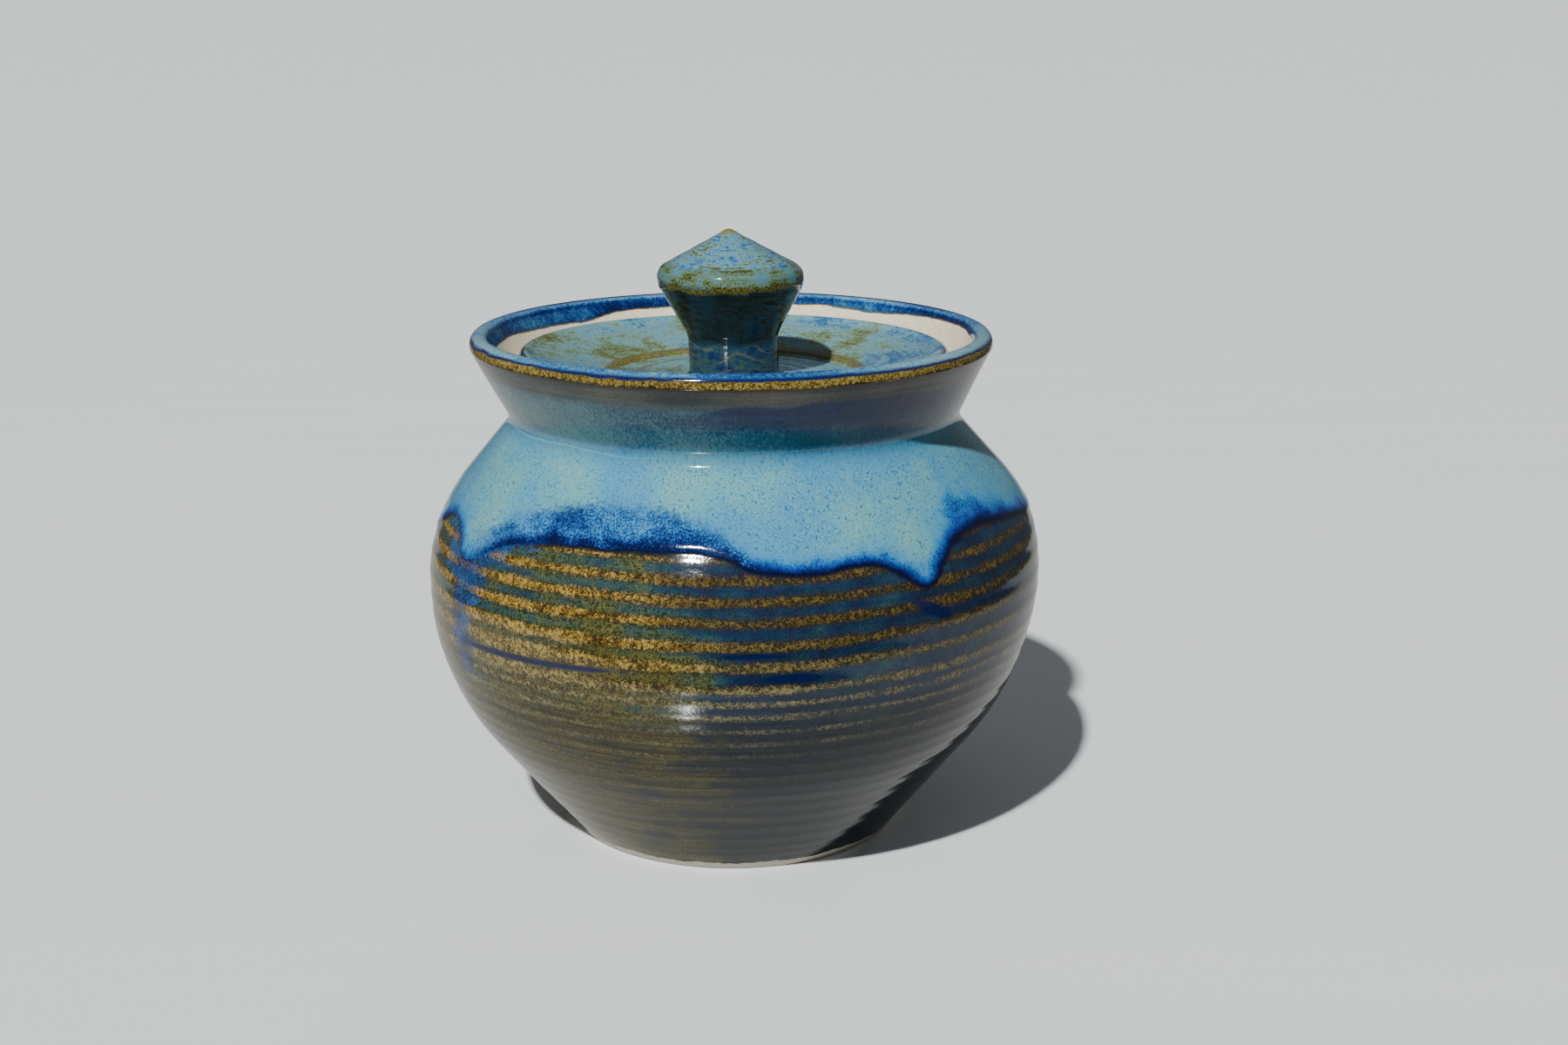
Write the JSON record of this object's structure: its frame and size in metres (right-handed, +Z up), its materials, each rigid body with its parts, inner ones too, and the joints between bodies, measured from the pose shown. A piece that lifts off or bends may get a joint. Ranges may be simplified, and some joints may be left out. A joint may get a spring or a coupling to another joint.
{
  "type": "lidded bean pot",
  "caption": "Wheel-thrown stoneware bean pot with a round belly, short neck and flared rim, and an inset dished lid with a pointed knob that lifts off.",
  "frame": {"origin": "middle of the foot, on the surface that the pot stands on", "axes": "+Z up along the pot's axis; the pot is round, so +X and +Y are any two level directions, with -Y towards the side where the pale glaze runs down furthest"},
  "size_m": [0.19, 0.19, 0.187],
  "materials": {
    "pot_glaze": "glossy blue and olive stoneware glaze over buff clay, bare on the foot and on the ledge under the lid",
    "lid_glaze": "glossy mottled turquoise and olive stoneware glaze, bare buff clay underneath",
    "knob_glaze": "glossy mottled blue and gold-green stoneware glaze"
  },
  "bodies": {
    "pot": {"pot_body": "pot_glaze"},
    "lid": {"lid": "lid_glaze", "lid_knob": "knob_glaze"}
  },
  "joints": [
    {"name": "lid_lift", "type": "slide", "parent": "pot", "child": "lid", "axis": [0, 0, 1], "range_m": [0, 0.06]}
  ]
}
